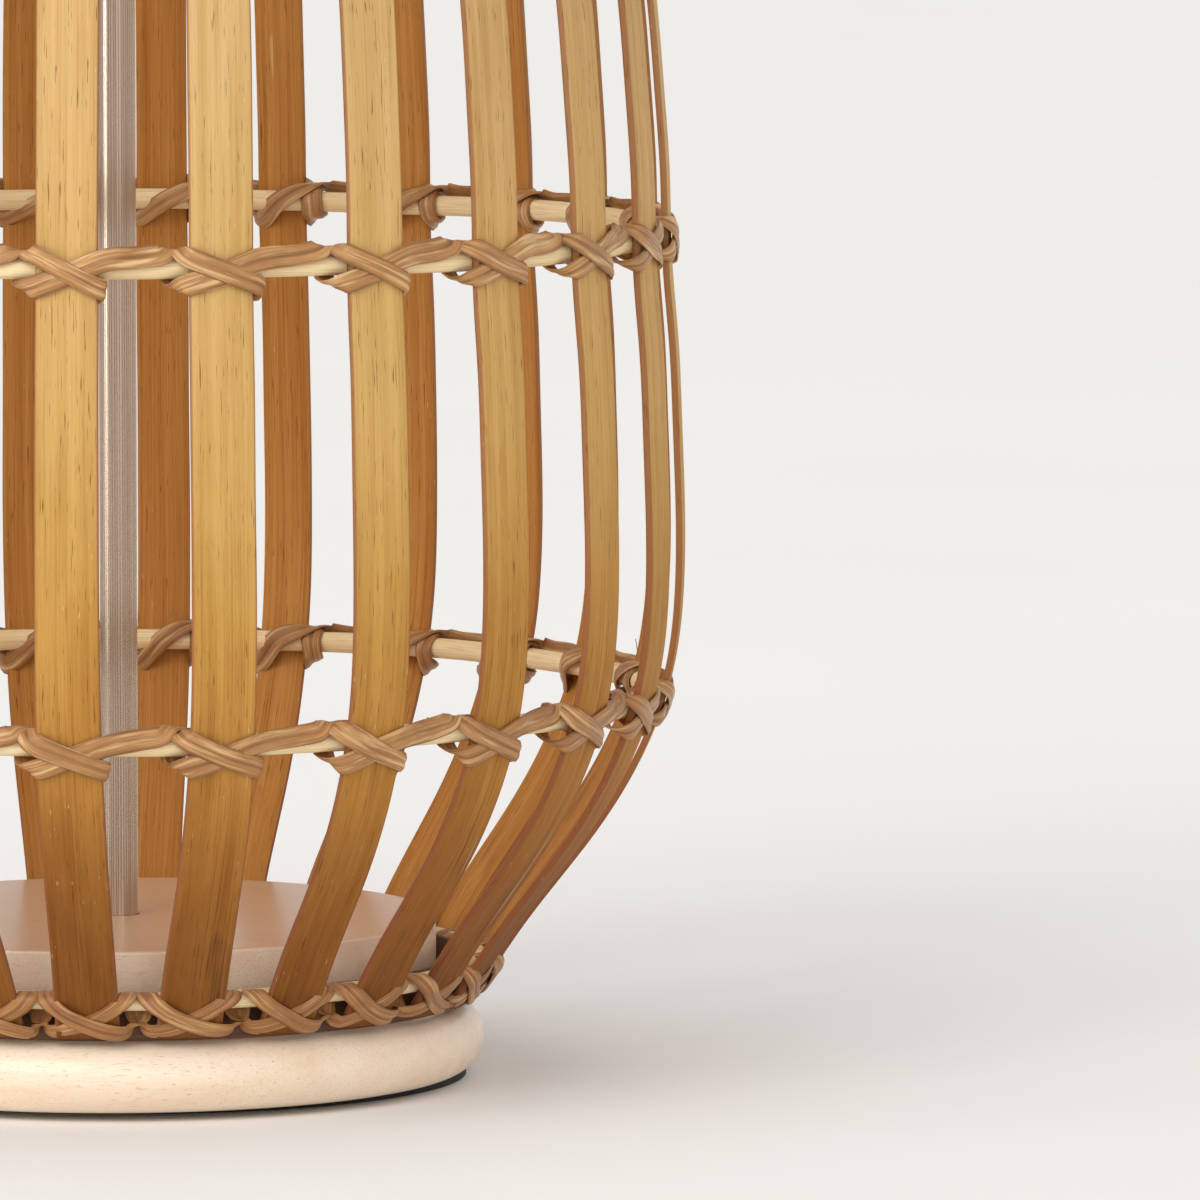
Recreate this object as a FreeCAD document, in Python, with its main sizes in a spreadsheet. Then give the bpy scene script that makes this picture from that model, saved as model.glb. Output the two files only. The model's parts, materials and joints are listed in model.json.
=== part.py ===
import FreeCAD, Part
import math
import os
import re
import Sketcher

from FreeCAD import Placement, Rotation, Vector

# Bamboo cage table lamp. Millimetres, +Z up, the origin on the floor under the tube's axis.
# Angles of the cage are measured from the front (-Y) towards +X.

SIZES = {
    # base
    "pad_thick": 2.1, "pad_radius": 84.0, "pad_right": 9.0, "pad_back": 9.5,
    "base_thick": 19.0, "base_radius": 97.5,
    "step_thick": 23.0, "step_radius": 84.7,
    "edge_flat": 0.4, "step_edge": 1.0,
    "screw_count": 3, "screw_circle": 55.0, "screw_radius": 2.0, "screw_length": 30.0,
    "screw_head_radius": 4.0, "screw_head_rise": 2.4, "screw_recess": 0.4,
    # tube and its nuts
    "tube_radius": 5.0, "tube_wall": 1.0, "tube_rise": 253.0, "tube_hole_gap": 0.3,
    "thread_gap": 0.05, "nut_corner": 9.6, "nut_thick": 5.0, "thin_nut_thick": 4.0,
    "washer_radius": 11.0, "washer_thick": 1.2,
    "well_radius": 18.0, "well_depth": 12.5, "tube_tail": 1.8,
    "pocket_radius": 12.0, "pocket_depth": 8.0,
    # cord entry
    "cord_radius": 3.3, "bush_radius": 4.5, "bush_length": 10.0,
    "flange_radius": 6.5, "flange_thick": 1.5, "flange_setback": 2.5, "seat_gap": 0.2,
    # cage: heights of the rings and radii of the slats' middle line
    "body_gap": 0.3, "base_ring_rise": 9.4, "base_bay": 72.5, "ring_pitch": 124.0,
    "foot_drop": 7.6, "tip_rise": 8.0, "haunch_rise": 31.5, "belly_rise": 53.0, "shoulder_rise": 63.0,
    "foot_radius": 94.8, "base_ring_radius": 99.2, "haunch_radius": 123.0, "lower_ring_radius": 145.4,
    "belly_radius": 150.1, "middle_ring_radius": 146.9, "shoulder_radius": 142.4,
    "high_ring_radius": 133.6, "rim_radius": 106.2, "tip_radius": 104.0,
    "slat_width": 16.4, "slat_thick": 2.0, "slat_count": 24, "slat_phase": -5.0,
    "hoop_wire": 5.8, "base_hoop_wire": 5.0, "lay_gap": 0.05,
    "band_thick": 1.8, "band_height": 12.8,
    "strap_width": 5.6, "strap_thick": 0.9, "strap_angle": 24.0, "strap_reach": 11.6, "bow_gap": 0.5,
    "sleeve_length": 3.4, "bridge_height": 5.0, "run_wire": 2.6,
    # lampholder, heights above its underside
    "cup_radius": 19.0, "cup_wall": 1.6, "cup_height": 20.0, "cup_cone": 8.0, "cup_foot_radius": 11.0,
    "hub_radius": 9.0, "hub_height": 7.0, "tube_entry": 6.0,
    "sleeve_radius": 20.0, "sleeve_wall": 2.8, "sleeve_height": 28.0, "sleeve_lip": 4.0, "spigot_depth": 4.0,
    "spigot_wall": 1.6, "insert_height": 12.5, "insert_floor": 9.5,
    "shell_inner": 13.3, "shell_wall": 0.5, "shell_height": 23.0,
    "tongue_radius": 4.0, "tongue_thick": 0.8, "grub_radius": 1.5, "grub_length": 5.0,
    # bulb
    "cap_radius": 13.0, "cap_wall": 0.4, "cap_height": 22.0, "insulator_height": 3.0,
    "tip_contact_radius": 4.8, "tip_contact_height": 1.2,
    "neck_radius": 12.5, "globe_radius": 30.0, "globe_rise": 50.7, "glass_wall": 0.8,
    "stem_radius": 3.5, "stem_height": 32.0, "stem_plate_radius": 8.0, "stem_plate_thick": 1.5,
    "filament_count": 4, "filament_radius": 0.9, "filament_height": 30.0, "filament_circle": 6.0,
}

# Values that follow from the driving ones, written as the sheet's own formulas.
DERIVED = {
    "base_top": "pad_thick + base_thick",
    "step_top": "base_top + step_thick",
    "cord_height": "pad_thick + base_thick / 2",
    "well_top": "pad_thick + well_depth",
    "tube_hole": "tube_radius + tube_hole_gap",
    "nut_bore": "tube_radius + thread_gap",
    "washer_low": "well_top - washer_thick",
    "nut_low": "washer_low - nut_thick",
    "tube_foot": "nut_low - tube_tail",
    "holder_z": "step_top + tube_rise",
    "tube_top": "holder_z + tube_entry",
    "flange_back": "base_radius - flange_setback",
    "slat_pitch": "360 / slat_count",
    "base_ring_z": "base_top + base_ring_rise",
    "foot_z": "base_ring_z - foot_drop",
    "haunch_z": "base_ring_z + haunch_rise",
    "lower_ring_z": "base_ring_z + base_bay",
    "belly_z": "lower_ring_z + belly_rise",
    "middle_ring_z": "lower_ring_z + ring_pitch",
    "shoulder_z": "middle_ring_z + shoulder_rise",
    "high_ring_z": "middle_ring_z + ring_pitch",
    "rim_z": "high_ring_z + ring_pitch",
    "tip_z": "rim_z + tip_rise",
    "cup_top": "holder_z + cup_height",
    "insert_z": "holder_z + insert_floor",
    "insert_top": "insert_z + insert_height",
    "tongue_top": "insert_top + tongue_thick",
    "bulb_z": "tongue_top + body_gap",
    "insulator_z": "bulb_z + tip_contact_height",
    "cap_z": "insulator_z + insulator_height",
    "neck_z": "cap_z + cap_height",
    "globe_z": "neck_z + globe_rise",
    "stem_top": "neck_z + stem_height",
}

# The slats are split and spaced by hand: each strays from the even pitch by a few degrees, and is a little
# narrower than the widest, by these millimetres.
SLAT_STRAY = [0.0, 0.5, 1.7, 1.9, 2.0, 1.2, 0.6, 3.4, 3.4, 2.5, 1.9, 1.6,
              0.0, -0.8, 0.6, 1.2, -0.5, -1.4, 0.3, 1.5, 0.9, -0.7, -1.2, 0.4]
SLAT_TRIM = [0.8, 0.2, 1.6, 1.7, 1.7, 1.0, 1.9, 1.4, 2.0, 1.4, 2.6, 3.4,
             2.8, 1.0, 1.6, 2.2, 0.9, 1.8, 1.3, 0.6, 2.1, 1.5, 0.4, 1.2]

doc = FreeCAD.newDocument("bamboo_cage_lamp")
sheet = doc.addObject("Spreadsheet::Sheet", "Sizes")
nodes = []


def fill_sheet():
    row = 0
    for name, value in list(SIZES.items()) + list(DERIVED.items()):
        row += 1
        sheet.set("A%d" % row, name)
        sheet.set("B%d" % row, str(value) if name in SIZES else "=" + value)
        sheet.setAlias("B%d" % row, name)
    doc.recompute()


def size(name):
    return float(sheet.get(name))


def bind(thing, prop, text):
    """Bind a property to an expression in the sheet's names."""
    def qualify(word):
        known = word.group() in SIZES or word.group() in DERIVED
        return "Sizes." + word.group() if known else word.group()
    thing.setExpression(prop, re.sub(r"[a-z_]+", qualify, text))


def keep(thing, label):
    """Mark an object as a sub-part; its label names its file."""
    thing.Label = label
    nodes.append(thing)
    return thing


def place(thing, x="0", y="0", z="0"):
    for key, text in zip("xyz", (x, y, z)):
        bind(thing, "Placement.Base." + key, text)
    return thing


def cylinder(name, radius, height, z="0", x="0", y="0"):
    rod = doc.addObject("Part::Cylinder", name)
    bind(rod, "Radius", radius)
    bind(rod, "Height", height)
    return place(rod, x, y, z)


def rod_along_y(name, radius, length, y, z):
    """A cylinder from y towards +Y at height z."""
    rod = cylinder(name, radius, length)
    rod.Placement = Placement(Vector(0, 0, 0), Rotation(Vector(1, 0, 0), -90))
    return place(rod, "0", y, z)


def cone(name, low_radius, top_radius, height, z, x="0", y="0"):
    taper = doc.addObject("Part::Cone", name)
    bind(taper, "Radius1", low_radius)
    bind(taper, "Radius2", top_radius)
    bind(taper, "Height", height)
    return place(taper, x, y, z)


def hexagon(name, corner, height, z):
    prism = doc.addObject("Part::Prism", name)
    prism.Polygon = 6
    bind(prism, "Circumradius", corner)
    bind(prism, "Height", height)
    return place(prism, z=z)


def fuse(name, pieces):
    union = doc.addObject("Part::MultiFuse", name)
    union.Shapes = pieces
    return union


def cut(name, blank, tools):
    hollow = doc.addObject("Part::Cut", name)
    hollow.Base = blank
    hollow.Tool = tools[0] if len(tools) == 1 else fuse(name + "_tools", tools)
    return hollow


def on_circle(radius, step, angle):
    """Expressions for a point on a circle about Z, at angle plus a multiple of a step."""
    return "%s * cos(%s + %s)" % (radius, step, angle), "%s * sin(%s + %s)" % (radius, step, angle)


def origin_plane(body, role):
    return [plane for plane in body.Origin.OriginFeatures if plane.Role == role][0]


def turned(label, outline):
    """A PartDesign body turned about Z from an outline of (radius, height) expressions."""
    body = doc.addObject("PartDesign::Body", label + "_body")
    sketch = body.newObject("Sketcher::SketchObject", label + "_outline")
    sketch.AttachmentSupport = [(origin_plane(body, "XZ_Plane"), "")]
    sketch.MapMode = "FlatFace"
    guess = [Vector(number(r), number(z), 0) for r, z in outline]
    count = len(outline)
    for i in range(count):
        sketch.addGeometry(Part.LineSegment(guess[i], guess[(i + 1) % count]), False)
    for i in range(count):
        sketch.addConstraint(Sketcher.Constraint("Coincident", i, 2, (i + 1) % count, 1))
    for i, (r, z) in enumerate(outline):
        if number(r) == 0:
            sketch.addConstraint(Sketcher.Constraint("PointOnObject", i, 1, -2))
        else:
            at = sketch.addConstraint(Sketcher.Constraint("DistanceX", -1, 1, i, 1, guess[i].x))
            bind(sketch, "Constraints[%d]" % at, r)
        at = sketch.addConstraint(Sketcher.Constraint("DistanceY", -1, 1, i, 1, guess[i].y))
        bind(sketch, "Constraints[%d]" % at, z)
    turn = body.newObject("PartDesign::Revolution", label + "_turn")
    turn.Profile = sketch
    turn.ReferenceAxis = (sketch, ["V_Axis"])
    turn.Angle = 360
    body.Tip = turn
    sketch.Visibility = False
    return body


def number(text):
    """The value of a sum of sheet names and numbers, such as a + b - 2."""
    total = 0.0
    for sign, term in re.findall(r"([+-]?)\s*([a-z_]+|[\d.]+)", text):
        value = size(term) if term[0].isalpha() else float(term)
        total += -value if sign == "-" else value
    return total


def make_pad():
    keep(cylinder("pad", "pad_radius", "pad_thick", "0", "pad_right", "pad_back"), "base_pad")


def screw_places():
    for i in range(int(size("screw_count"))):
        yield i, on_circle("screw_circle", "%d * 360 / screw_count" % i, "30")


def make_base_disc():
    body = doc.addObject("PartDesign::Body", "base_blank")
    sketch = body.newObject("Sketcher::SketchObject", "base_outline")
    sketch.AttachmentSupport = [(origin_plane(body, "XY_Plane"), "")]
    sketch.MapMode = "FlatFace"
    bind(sketch, "AttachmentOffset.Base.z", "pad_thick")
    sketch.addGeometry(Part.Circle(Vector(0, 0, 0), Vector(0, 0, 1), size("base_radius")), False)
    sketch.addConstraint(Sketcher.Constraint("Coincident", 0, 3, -1, 1))
    at = sketch.addConstraint(Sketcher.Constraint("Radius", 0, size("base_radius")))
    bind(sketch, "Constraints[%d]" % at, "base_radius")
    pad = body.newObject("PartDesign::Pad", "base_plank")
    pad.Profile = sketch
    bind(pad, "Length", "base_thick")
    doc.recompute()
    rounding = body.newObject("PartDesign::Fillet", "bullnose")
    rims = ["Edge%d" % (i + 1) for i, edge in enumerate(pad.Shape.Edges) if len(edge.Vertexes) == 1]
    rounding.Base = (pad, rims)
    bind(rounding, "Radius", "(base_thick - edge_flat) / 2")
    body.Tip = rounding
    tools = [cylinder("well", "well_radius", "well_depth", "pad_thick"),
             cylinder("base_tube_hole", "tube_hole", "base_thick", "pad_thick"),
             rod_along_y("cord_way", "bush_radius + thread_gap", "base_radius", "0", "cord_height"),
             rod_along_y("flange_seat", "flange_radius + seat_gap", "base_radius", "flange_back", "cord_height")]
    for i, (x, y) in screw_places():
        tools.append(cylinder("clearance_hole_%d" % i, "screw_radius + seat_gap", "base_thick", "pad_thick", x, y))
        tools.append(cylinder("head_well_%d" % i, "screw_head_radius + seat_gap",
                              "screw_recess + thread_gap", "pad_thick", x, y))
        tools.append(cone("countersink_%d" % i, "screw_head_radius + seat_gap", "screw_radius + seat_gap",
                          "screw_head_rise", "pad_thick + screw_recess", x, y))
    keep(cut("base_disc_cut", body, tools), "base_disc")


def make_step_disc():
    blank = cylinder("step_plank", "step_radius", "step_thick", "base_top")
    doc.recompute()
    eased = doc.addObject("Part::Fillet", "step_eased")
    eased.Base = blank
    top = [i + 1 for i, edge in enumerate(blank.Shape.Edges)
           if len(edge.Vertexes) == 1 and edge.BoundBox.ZMin > size("step_top") - size("step_edge")]
    eased.Edges = [(i, size("step_edge"), size("step_edge")) for i in top]
    tools = [cylinder("step_tube_hole", "tube_hole", "step_thick", "base_top"),
             cylinder("nut_pocket", "pocket_radius", "pocket_depth", "base_top")]
    for i, (x, y) in screw_places():
        tools.append(cylinder("pilot_hole_%d" % i, "screw_radius + thread_gap",
                              "screw_length - base_thick + 1", "base_top", x, y))
    keep(cut("step_disc_cut", eased, tools), "step_disc")


def make_screws():
    pieces = []
    for i, (x, y) in screw_places():
        head_z = "pad_thick + screw_recess"
        pieces.append(cone("screw_head_%d" % i, "screw_head_radius", "screw_radius", "screw_head_rise",
                           head_z, x, y))
        pieces.append(cylinder("screw_shank_%d" % i, "screw_radius", "screw_length - 4", head_z, x, y))
        pieces.append(cone("screw_point_%d" % i, "screw_radius", "0.3", "3.6",
                           head_z + " + screw_length - 4", x, y))
    keep(fuse("screws", pieces), "base_screws")


def make_nut(label, height, z):
    blank = hexagon(label + "_hexagon", "nut_corner", height, z)
    keep(cut(label + "_cut", blank, [cylinder(label + "_thread", "nut_bore", height, z)]), label)


def make_tube():
    make_nut("tube_nut_lower", "nut_thick", "nut_low")
    washer = cylinder("washer_blank", "washer_radius", "washer_thick", "washer_low")
    hole = cylinder("washer_hole", "tube_hole", "washer_thick", "washer_low")
    keep(cut("washer_cut", washer, [hole]), "tube_washer_lower")
    make_nut("tube_locknut", "nut_thick", "base_top")
    blank = cylinder("tube_blank", "tube_radius", "tube_top - tube_foot", "tube_foot")
    bore = cylinder("tube_bore", "tube_radius - tube_wall", "tube_top - tube_foot", "tube_foot")
    keep(cut("tube_cut", blank, [bore]), "centre_tube")
    make_nut("lampholder_locknut", "thin_nut_thick", "holder_z - thin_nut_thick")


def make_grommet():
    flange = rod_along_y("grommet_flange", "flange_radius", "flange_thick", "flange_back", "cord_height")
    bush = rod_along_y("grommet_bush", "bush_radius", "bush_length + flange_thick",
                       "flange_back - bush_length", "cord_height")
    bore = rod_along_y("grommet_bore", "cord_radius", "bush_length + flange_thick",
                       "flange_back - bush_length", "cord_height")
    keep(cut("grommet_cut", fuse("grommet_blank", [flange, bush]), [bore]), "cord_grommet")


def make_lampholder():
    cup = turned("lampholder_cup", [
        ("nut_bore", "holder_z"), ("cup_foot_radius", "holder_z"), ("cup_radius", "holder_z + cup_cone"),
        ("cup_radius", "cup_top"), ("cup_radius - cup_wall", "cup_top"),
        ("cup_radius - cup_wall", "holder_z + cup_cone + cup_wall"),
        ("cup_foot_radius", "holder_z + cup_wall + cup_wall"), ("hub_radius", "holder_z + cup_wall + cup_wall"),
        ("hub_radius", "holder_z + hub_height"), ("nut_bore", "holder_z + hub_height")])
    grub_y = "hub_radius - grub_length"
    grub_z = "holder_z + cup_wall + cup_wall + grub_radius + 0.3"
    grub_way = rod_along_y("grub_way", "grub_radius + thread_gap", "cup_radius", "0", grub_z)
    keep(cut("cup_cut", cup, [grub_way]), "lampholder_cup")
    screw = rod_along_y("grub_screw", "grub_radius", "grub_length", grub_y + " + 1.2", grub_z)
    keep(screw, "lampholder_grub_screw")
    spigot = "cup_radius - cup_wall - lay_gap"
    sleeve = turned("lampholder_body", [
        (spigot + " - spigot_wall", "cup_top - spigot_depth"), (spigot, "cup_top - spigot_depth"),
        (spigot, "cup_top + lay_gap"), ("cup_radius", "cup_top + lay_gap"),
        ("sleeve_radius", "cup_top + sleeve_lip"), ("sleeve_radius", "cup_top + sleeve_height - sleeve_lip"),
        ("cup_radius", "cup_top + sleeve_height"), ("sleeve_radius - sleeve_wall", "cup_top + sleeve_height"),
        ("sleeve_radius - sleeve_wall", "cup_top + sleeve_lip"), (spigot + " - spigot_wall", "cup_top")])
    keep(sleeve, "lampholder_body")
    insert = turned("lampholder_insert", [
        ("0", "insert_z"), (spigot + " - spigot_wall - lay_gap", "insert_z"),
        (spigot + " - spigot_wall - lay_gap", "insert_top"), ("0", "insert_top")])
    keep(insert, "lampholder_insert")
    shell = cylinder("shell_blank", "shell_inner + shell_wall", "shell_height", "insert_top")
    shell_bore = cylinder("shell_bore", "shell_inner", "shell_height", "insert_top")
    keep(cut("shell_cut", shell, [shell_bore]), "lampholder_screw_shell")
    keep(cylinder("tongue", "tongue_radius", "tongue_thick", "insert_top"), "lampholder_contact")


def tangent_latitude(radius, neck, rise):
    """How far below the globe's equator its cone leaves it, in degrees."""
    away = math.hypot(neck, rise)
    return math.degrees(math.asin(radius / away) - math.atan(neck / rise))


def glass_form(name, wall):
    """The bulb's outline: a globe and the cone tangent to it; wall is how far it is shrunk."""
    inset = number(wall)
    globe = doc.addObject("Part::Sphere", name + "_globe")
    bind(globe, "Radius", "globe_radius - " + wall)
    place(globe, z="globe_z")
    latitude = tangent_latitude(size("globe_radius") - inset, size("neck_radius") - inset, size("globe_rise"))
    low = "%.6f" % math.sin(math.radians(latitude))
    wide = "%.6f" % math.cos(math.radians(latitude))
    neck = cone(name + "_neck", "neck_radius - " + wall, "(globe_radius - %s) * %s" % (wall, wide),
                "globe_rise - (globe_radius - %s) * %s" % (wall, low), "neck_z")
    return fuse(name, [globe, neck])


def make_bulb():
    keep(cylinder("bulb_tip", "tip_contact_radius", "tip_contact_height", "bulb_z"), "bulb_contact")
    keep(cone("bulb_insulator_cone", "tip_contact_radius + 1", "cap_radius - 1", "insulator_height",
              "insulator_z"), "bulb_insulator")
    cap = cylinder("cap_blank", "cap_radius", "cap_height", "cap_z")
    cap_bore = cylinder("cap_bore", "cap_radius - cap_wall", "cap_height - cap_wall", "cap_z + cap_wall")
    keep(cut("cap_cut", cap, [cap_bore]), "bulb_cap")
    keep(cut("glass_cut", glass_form("glass_outside", "0"), [glass_form("glass_inside", "glass_wall")]),
         "bulb_glass")
    stem = cylinder("stem_post", "stem_radius", "cap_height - 2 * cap_wall + stem_height", "cap_z + 2 * cap_wall")
    plate = cylinder("stem_plate", "stem_plate_radius", "stem_plate_thick", "stem_top - stem_plate_thick")
    keep(fuse("stem", [stem, plate]), "bulb_stem")
    rods = []
    for i in range(int(size("filament_count"))):
        x, y = on_circle("filament_circle", "%d * 360 / filament_count" % i, "0")
        rods.append(cylinder("filament_%d" % i, "filament_radius", "filament_height", "stem_top + lay_gap", x, y))
    keep(fuse("filaments", rods), "bulb_filaments")


def slat_curve():
    """The middle line of a slat in the XZ plane, from its foot to its tip."""
    stations = [("foot_radius", "foot_z"), ("base_ring_radius", "base_ring_z"), ("haunch_radius", "haunch_z"),
                ("lower_ring_radius", "lower_ring_z"), ("belly_radius", "belly_z"),
                ("middle_ring_radius", "middle_ring_z"), ("shoulder_radius", "shoulder_z"),
                ("high_ring_radius", "high_ring_z"), ("rim_radius", "rim_z"), ("tip_radius", "tip_z")]
    curve = Part.BSplineCurve()
    curve.interpolate([Vector(size(r), 0, size(z)) for r, z in stations])
    return curve


def slat_angles():
    """Each slat's direction in degrees about Z, counted from +X."""
    for i in range(int(size("slat_count"))):
        stray = SLAT_STRAY[i % len(SLAT_STRAY)]
        yield i, size("slat_phase") + i * size("slat_pitch") + stray - 90


def slat_section(label, wide, place_at):
    """A slat's outline across its length, wide from edge to edge."""
    out = size("slat_thick") / 2
    side = wide / 2
    corners = [Vector(-out, -side, 0), Vector(out, -side, 0), Vector(out, side, 0), Vector(-out, side, 0)]
    section = doc.addObject("Part::Feature", label)
    section.Shape = Part.makePolygon(corners + corners[:1])
    section.Placement = place_at
    return section


def make_slats(curve):
    line = doc.addObject("Part::Feature", "slat_line")
    line.Shape = curve.toShape()
    foot = curve.value(curve.FirstParameter)
    place_at = Placement(foot, Rotation(Vector(0, 0, 1), curve.tangent(curve.FirstParameter)[0]))
    for i, angle in slat_angles():
        wide = size("slat_width") - SLAT_TRIM[i % len(SLAT_TRIM)]
        slat = doc.addObject("Part::Sweep", "slat_sweep_%02d" % (i + 1))
        slat.Sections = [slat_section("slat_section_%02d" % (i + 1), wide, place_at)]
        slat.Spine = (line, ["Edge1"])
        slat.Solid = True
        slat.Placement = Placement(Vector(0, 0, 0), Rotation(Vector(0, 0, 1), angle))
        keep(slat, "slat_%02d" % (i + 1))


def slope_at(curve, radius, height):
    """The slat's lean from upright where it passes a ring, in radians, positive outward going up."""
    direction = curve.tangent(curve.parameter(Vector(radius, 0, height)))[0]
    return math.atan2(direction.x, direction.z)


class Ring:
    """A hoop inside the slats: its height, its radius and the slats' lean there."""

    def __init__(self, name, curve, height, radius, wire):
        self.name = name
        self.height = size(height)
        self.slat_radius = size(radius)
        self.wire = size(wire) / 2
        self.lean = slope_at(curve, self.slat_radius, self.height)
        off = self.wire + size("lay_gap") + size("slat_thick") / 2
        self.radius = self.slat_radius - off * math.cos(self.lean)
        self.height = self.height + off * math.sin(self.lean)
        self.face = self.wire + 2 * size("lay_gap") + size("slat_thick") + size("bow_gap")


def make_hoop(ring):
    hoop = doc.addObject("Part::Torus", ring.name + "_torus")
    hoop.Radius1 = ring.radius
    hoop.Radius2 = ring.wire
    hoop.Placement = Placement(Vector(0, 0, ring.height), Rotation())
    keep(hoop, ring.name + "_hoop")


def strap_box(deep, long, high, out, turn):
    """A flat piece centred on the hoop's line, standing off outward by out, turned about the outward axis."""
    box = Part.makeBox(deep, long, high, Vector(out, -long / 2, -high / 2))
    box.rotate(Vector(0, 0, 0), Vector(1, 0, 0), turn)
    return box


def knot_shape(ring):
    """The crossed straps over one slat, joined to a sleeve round the hoop on each side of it."""
    face = ring.face
    thick = size("strap_thick")
    reach = 2 * size("strap_reach")
    pieces = [strap_box(thick, reach, size("strap_width"), face, size("strap_angle")),
              strap_box(thick, reach, size("strap_width"), face + thick, -size("strap_angle"))]
    side = size("slat_width") / 2 + size("body_gap")
    bridge = size("strap_reach") - side
    deep = 2 * thick + face - ring.wire - size("lay_gap")
    for hand in (-1, 1):
        block = Part.makeBox(deep, bridge, size("bridge_height"),
                             Vector(ring.wire + size("lay_gap"), -bridge / 2, -size("bridge_height") / 2))
        block.translate(Vector(0, hand * (side + bridge / 2), 0))
        pieces.append(block)
    knot = pieces[0].fuse(pieces[1:])
    knot.rotate(Vector(0, 0, 0), Vector(0, 1, 0), math.degrees(ring.lean))
    knot.translate(Vector(ring.radius, 0, ring.height))
    middle = side + size("sleeve_length") / 2
    for hand in (-1, 1):
        turn = math.degrees(hand * middle / ring.radius)
        sleeve = hoop_rod(ring, ring.wire + size("lay_gap") + thick, 0, turn, size("sleeve_length"))
        core = hoop_rod(ring, ring.wire + size("lay_gap"), 0, turn, size("sleeve_length"))
        knot = knot.fuse(sleeve.cut(core))
    return knot


def hoop_rod(ring, wire, up, turn, length):
    """A short straight rod that lies along the hoop, its middle at an angle round the cage."""
    rod = Part.makeCylinder(wire, length, Vector(ring.radius, -length / 2, ring.height + up), Vector(0, 1, 0))
    rod.rotate(Vector(0, 0, 0), Vector(0, 0, 1), turn)
    return rod


def make_lashing(ring):
    """A strap crosses each slat in an X and runs along the hoop from slat to slat: over it, or under the foot's."""
    knot = knot_shape(ring)
    angles = [angle for i, angle in slat_angles()]
    reach = math.degrees((size("strap_reach") + size("body_gap")) / ring.radius)
    wire = size("run_wire") / 2
    above = (ring.wire + wire + size("lay_gap")) * (-1 if ring.name == "base" else 1)
    solids = []
    for i, angle in enumerate(angles):
        turned_knot = knot.copy()
        turned_knot.rotate(Vector(0, 0, 0), Vector(0, 0, 1), angle)
        solids += turned_knot.Solids
        gap = (angles[(i + 1) % len(angles)] - angle) % 360
        if gap > 2 * reach:
            length = 2 * ring.radius * math.sin(math.radians(gap / 2 - reach))
            solids.append(hoop_rod(ring, wire, above, angle + gap / 2, length))
    lashing = doc.addObject("Part::Feature", ring.name + "_straps")
    lashing.Shape = Part.makeCompound(solids)
    keep(lashing, ring.name + "_lashing")


def make_base_band(ring):
    outer = ring.radius - ring.wire - size("strap_thick") - 2 * size("lay_gap")
    low = size("base_top") + size("body_gap")
    band = doc.addObject("Part::Feature", "base_band_ring")
    outside = Part.makeCylinder(outer, size("band_height"), Vector(0, 0, low))
    inside = Part.makeCylinder(outer - size("band_thick"), size("band_height"), Vector(0, 0, low))
    band.Shape = outside.cut(inside)
    keep(band, "base_band")


def make_cage():
    curve = slat_curve()
    make_slats(curve)
    rings = [Ring("base", curve, "base_ring_z", "base_ring_radius", "base_hoop_wire"),
             Ring("lower", curve, "lower_ring_z", "lower_ring_radius", "hoop_wire"),
             Ring("middle", curve, "middle_ring_z", "middle_ring_radius", "hoop_wire"),
             Ring("high", curve, "high_ring_z", "high_ring_radius", "hoop_wire"),
             Ring("rim", curve, "rim_z", "rim_radius", "hoop_wire")]
    for ring in rings:
        make_hoop(ring)
        make_lashing(ring)
    make_base_band(rings[0])


def check_document():
    for thing in doc.Objects:
        if "Invalid" in thing.State or "Error" in thing.State:
            raise RuntimeError("%s did not build: %s" % (thing.Name, thing.State))
    for thing in nodes:
        if thing.Shape.isNull() or not thing.Shape.isValid() or not thing.Shape.Solids:
            raise RuntimeError("%s has no valid solid" % thing.Label)


def write_parts():
    os.makedirs("parts", exist_ok=True)
    for thing in nodes:
        thing.Shape.exportStep("parts/%s.step" % thing.Label)


fill_sheet()
make_pad()
make_base_disc()
make_step_disc()
make_screws()
make_tube()
make_grommet()
make_lampholder()
make_bulb()
make_cage()
doc.recompute()
check_document()
write_parts()
print("wrote %d sub-parts" % len(nodes))
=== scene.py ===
import json
import math
import random

import bmesh
import bpy
import numpy as np
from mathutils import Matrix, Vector


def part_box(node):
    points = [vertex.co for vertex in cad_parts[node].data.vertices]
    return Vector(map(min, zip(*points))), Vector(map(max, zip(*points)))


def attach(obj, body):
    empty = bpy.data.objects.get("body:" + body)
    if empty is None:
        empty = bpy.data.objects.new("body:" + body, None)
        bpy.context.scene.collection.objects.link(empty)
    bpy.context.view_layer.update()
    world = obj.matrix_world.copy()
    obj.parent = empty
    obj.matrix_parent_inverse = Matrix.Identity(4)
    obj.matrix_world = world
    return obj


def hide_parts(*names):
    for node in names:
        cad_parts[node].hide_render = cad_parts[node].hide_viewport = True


# Bamboo cage table lamp. Metres, in the CAD model's frame; MM turns millimetres into metres.
# A slat's own directions are across (to the right seen from outside), out (away from the tube) and up.

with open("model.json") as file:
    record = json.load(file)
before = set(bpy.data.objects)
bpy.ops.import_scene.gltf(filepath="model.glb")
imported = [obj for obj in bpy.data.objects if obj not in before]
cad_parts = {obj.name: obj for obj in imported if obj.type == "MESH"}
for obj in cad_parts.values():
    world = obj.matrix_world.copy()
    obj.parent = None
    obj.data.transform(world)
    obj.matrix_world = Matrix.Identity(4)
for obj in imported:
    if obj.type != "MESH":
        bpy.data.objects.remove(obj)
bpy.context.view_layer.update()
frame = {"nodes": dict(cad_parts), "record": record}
MM = 0.001
FULL_TURN = 2 * math.pi
STEP_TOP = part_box("step_disc")[1].z
rng = random.Random(7)

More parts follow.
